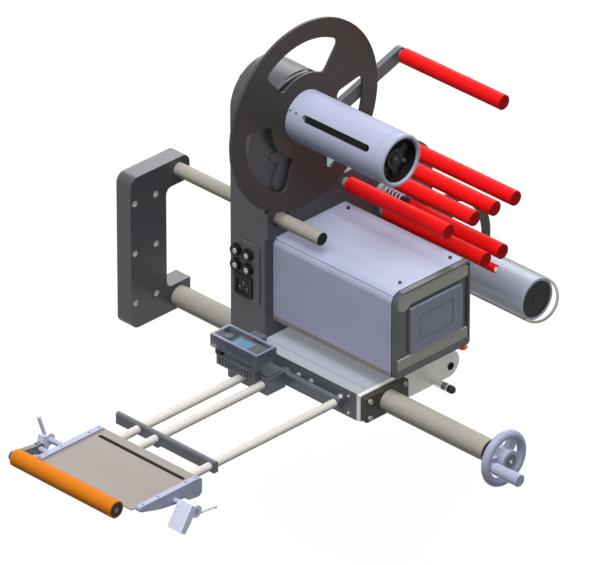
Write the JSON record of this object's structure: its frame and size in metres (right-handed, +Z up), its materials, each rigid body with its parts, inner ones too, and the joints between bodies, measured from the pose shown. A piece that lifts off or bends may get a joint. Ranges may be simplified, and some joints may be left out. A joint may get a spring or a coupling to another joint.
{
  "type": "label applicator head",
  "caption": "Labelling head on two shafts: side bracket, motor housing, label reel, guide rollers, rewinder, control box, peel table and handwheel drive.",
  "frame": {"origin": "centre of the bracket's six mounting holes, on its back face, midway between the two shafts", "axes": "+X along the shafts to the handwheel, +Y from the peel table to the rewinder, +Z up"},
  "size_m": [0.7039, 0.8825, 0.557],
  "materials": {
    "dark_coat": "satin dark grey coat on aluminium",
    "shaft_steel": "ground, warm grey",
    "bright_steel": "polished",
    "brown_steel": "satin brown-black",
    "black_steel": "blackened",
    "bronze": "machined bronze",
    "clear_alloy": "clear anodised",
    "grey_alloy": "dark anodised",
    "lavender_alloy": "anodised, faintly violet",
    "lavender_coat": "satin coat, faintly violet",
    "peel_steel": "brushed sheet",
    "black_plastic": "moulded",
    "grey_plastic": "moulded",
    "red_plastic": "glossy",
    "blue_plastic": "glossy",
    "screen_glass": "anti-glare film",
    "board_green": "solder mask",
    "black_rubber": "moulded",
    "red_rubber": "ground silicone sleeve",
    "orange_rubber": "foam-soft sleeve",
    "clear_plastic": "smoked clear cover"
  },
  "bodies": {
    "stand": {"side_bracket": "dark_coat", "upper_shaft": "shaft_steel", "lower_spar": "shaft_steel", "spar_end_ring": "black_plastic"},
    "handwheel": {"handwheel": "lavender_alloy", "lead_screw": "shaft_steel"},
    "crank": {"crank_grip": "lavender_alloy"},
    "head": {"head_housing": "dark_coat", "rear_cover": "dark_coat", "shaft_bushing": "bright_steel", "spindle_bearings": "bright_steel", "lead_nut": "bronze", "connector_panel": "black_plastic", "round_connectors": "black_plastic", "power_inlet": "black_plastic", "carriage_block": "clear_alloy", "carriage_end_plate": "clear_alloy", "carriage_flange": "brown_steel", "head_screws": "black_steel", "box_shelf": "clear_alloy", "box_cover": "lavender_coat", "box_bezel": "dark_coat", "display_strips": "grey_plastic", "touch_screen": "screen_glass", "control_board": "board_green", "drive_motor": "black_steel", "drive_belts": "black_rubber", "roller_axles": "bright_steel", "rear_crossbar": "grey_alloy", "front_block": "grey_alloy"},
    "unwinder": {"unwind_disc": "brown_steel", "mandrel": "lavender_alloy"},
    "mandrel_key": {"expanding_key": "black_rubber"},
    "knob": {"mandrel_knob": "black_plastic"},
    "dancer": {"dancer_arm": "grey_alloy"},
    "dancer_wheel": {"dancer_roller": "red_rubber"},
    "guide_1": {"guide_roller_1": "red_rubber"},
    "guide_2": {"guide_roller_2": "red_rubber"},
    "guide_3": {"guide_roller_3": "red_rubber"},
    "guide_4": {"guide_roller_4": "red_rubber"},
    "traction": {"drive_roller": "red_rubber"},
    "motor_shaft": {"motor_pulley": "clear_alloy"},
    "nip": {"nip_lever": "bright_steel"},
    "pinch": {"pinch_roller": "red_rubber"},
    "edge": {"edge_roller": "red_rubber"},
    "rewinder": {"rewind_disc": "brown_steel", "rewind_core": "clear_alloy"},
    "core_loop": {"wire_loop": "bright_steel"},
    "table": {"table_rods": "bright_steel", "front_crossbar": "grey_alloy", "peel_plate": "peel_steel", "table_frame": "lavender_alloy"},
    "press": {"press_arm": "grey_alloy"},
    "press_wheel": {"press_roller": "orange_rubber"},
    "clamp_right": {"right_clamp": "lavender_alloy"},
    "clamp_left": {"left_clamp": "lavender_alloy"},
    "sensor": {"label_sensor": "clear_plastic", "sensor_core": "blue_plastic"},
    "index": {"index_pin": "bright_steel"},
    "stop": {"stop_knob": "red_plastic"}
  },
  "joints": [
    {"name": "handwheel_turn", "type": "hinge", "parent": "stand", "child": "handwheel", "pos_m": [0.649, 0.064, -0.1], "axis": [1, 0, 0], "range_deg": [-3960, 2700]},
    {"name": "head_slide", "type": "slide", "parent": "stand", "child": "head", "axis": [1, 0, 0], "range_m": [-0.11, 0.075]},
    {"name": "crank_spin", "type": "hinge", "parent": "handwheel", "child": "crank", "pos_m": [0.68, 0.039, -0.102], "axis": [1, 0, 0], "continuous": true},
    {"name": "unwind_spin", "type": "hinge", "parent": "head", "child": "unwinder", "pos_m": [0.3, 0.098, 0.252], "axis": [1, 0, 0], "continuous": true},
    {"name": "knob_turn", "type": "hinge", "parent": "unwinder", "child": "knob", "pos_m": [0.41, 0.098, 0.252], "axis": [1, 0, 0], "range_deg": [0, 90]},
    {"name": "key_expand", "type": "slide", "parent": "unwinder", "child": "mandrel_key", "axis": [0, -0.8572, 0.515], "range_m": [0, 0.0015]},
    {"name": "dancer_swing", "type": "hinge", "parent": "head", "child": "dancer", "pos_m": [0.227, 0.135, 0.219], "axis": [1, 0, 0], "range_deg": [-35, 0], "stiffness_Nm_per_rad": 1.5, "springref_deg": 34.38},
    {"name": "dancer_roll", "type": "hinge", "parent": "dancer", "child": "dancer_wheel", "pos_m": [0.33, 0.29, 0.27], "axis": [1, 0, 0], "continuous": true},
    {"name": "guide_1_roll", "type": "hinge", "parent": "head", "child": "guide_1", "pos_m": [0.32, 0.324, 0.105], "axis": [1, 0, 0], "continuous": true},
    {"name": "guide_2_roll", "type": "hinge", "parent": "head", "child": "guide_2", "pos_m": [0.32, 0.284, 0.105], "axis": [1, 0, 0], "continuous": true},
    {"name": "guide_3_roll", "type": "hinge", "parent": "head", "child": "guide_3", "pos_m": [0.32, 0.244, 0.105], "axis": [1, 0, 0], "continuous": true},
    {"name": "guide_4_roll", "type": "hinge", "parent": "head", "child": "guide_4", "pos_m": [0.32, 0.193, 0.105], "axis": [1, 0, 0], "continuous": true},
    {"name": "edge_roll", "type": "hinge", "parent": "head", "child": "edge", "pos_m": [0.32, 0.286, 0.01], "axis": [1, 0, 0], "continuous": true},
    {"name": "nip_swing", "type": "hinge", "parent": "head", "child": "nip", "pos_m": [0.225, 0.262, 0.066], "axis": [1, 0, 0], "range_deg": [-8, 15]},
    {"name": "pinch_roll", "type": "hinge", "parent": "nip", "child": "pinch", "pos_m": [0.32, 0.266, 0.032], "axis": [1, 0, 0], "continuous": true},
    {"name": "rewind_spin", "type": "hinge", "parent": "head", "child": "rewinder", "pos_m": [0.3, 0.371, -0.073], "axis": [1, 0, 0], "continuous": true},
    {"name": "traction_spin", "type": "hinge", "parent": "head", "child": "traction", "pos_m": [0.3, 0.299, 0.032], "axis": [1, 0, 0], "continuous": true},
    {"name": "motor_spin", "type": "hinge", "parent": "head", "child": "motor_shaft", "pos_m": [0.23, 0.15, -0.01], "axis": [1, 0, 0], "continuous": true},
    {"name": "loop_pull", "type": "slide", "parent": "rewinder", "child": "core_loop", "axis": [1, 0, 0], "range_m": [0, 0.14]},
    {"name": "table_slide", "type": "slide", "parent": "head", "child": "table", "axis": [0, 1, 0], "range_m": [-0.014, 0.014]},
    {"name": "press_swing", "type": "hinge", "parent": "table", "child": "press", "pos_m": [0.19, -0.362, -0.097], "axis": [1, 0, 0], "range_deg": [-35, 0], "stiffness_Nm_per_rad": 1, "springref_deg": 28.65},
    {"name": "press_roll", "type": "hinge", "parent": "press", "child": "press_wheel", "pos_m": [0.3, -0.407, -0.091], "axis": [1, 0, 0], "continuous": true},
    {"name": "clamp_right_turn", "type": "hinge", "parent": "table", "child": "clamp_right", "pos_m": [0.44, -0.321, -0.103], "axis": [1, 0, 0], "range_deg": [-10, 25]},
    {"name": "clamp_left_turn", "type": "hinge", "parent": "table", "child": "clamp_left", "pos_m": [0.181, -0.3345, -0.098], "axis": [1, 0, 0], "range_deg": [-10, 25]},
    {"name": "sensor_slide", "type": "slide", "parent": "head", "child": "sensor", "axis": [1, 0, 0], "range_m": [-0.015, 0.015]},
    {"name": "index_pull", "type": "slide", "parent": "head", "child": "index", "axis": [1, 0, 0], "range_m": [0, 0.006], "stiffness_N_per_m": 300, "springref_m": -0.006},
    {"name": "stop_push", "type": "slide", "parent": "head", "child": "stop", "axis": [0, 0, 1], "range_m": [0, 0.003], "stiffness_N_per_m": 300, "springref_m": -0.002}
  ],
  "couplings": [
    {"joint": "handwheel_turn", "follows": "head_slide", "rad_per_m": 628.32},
    {"joint": "key_expand", "follows": "knob_turn", "m_per_rad": 0.00095493},
    {"joint": "traction_spin", "follows": "rewind_spin", "ratio": 2},
    {"joint": "motor_spin", "follows": "rewind_spin", "ratio": 1.6}
  ]
}
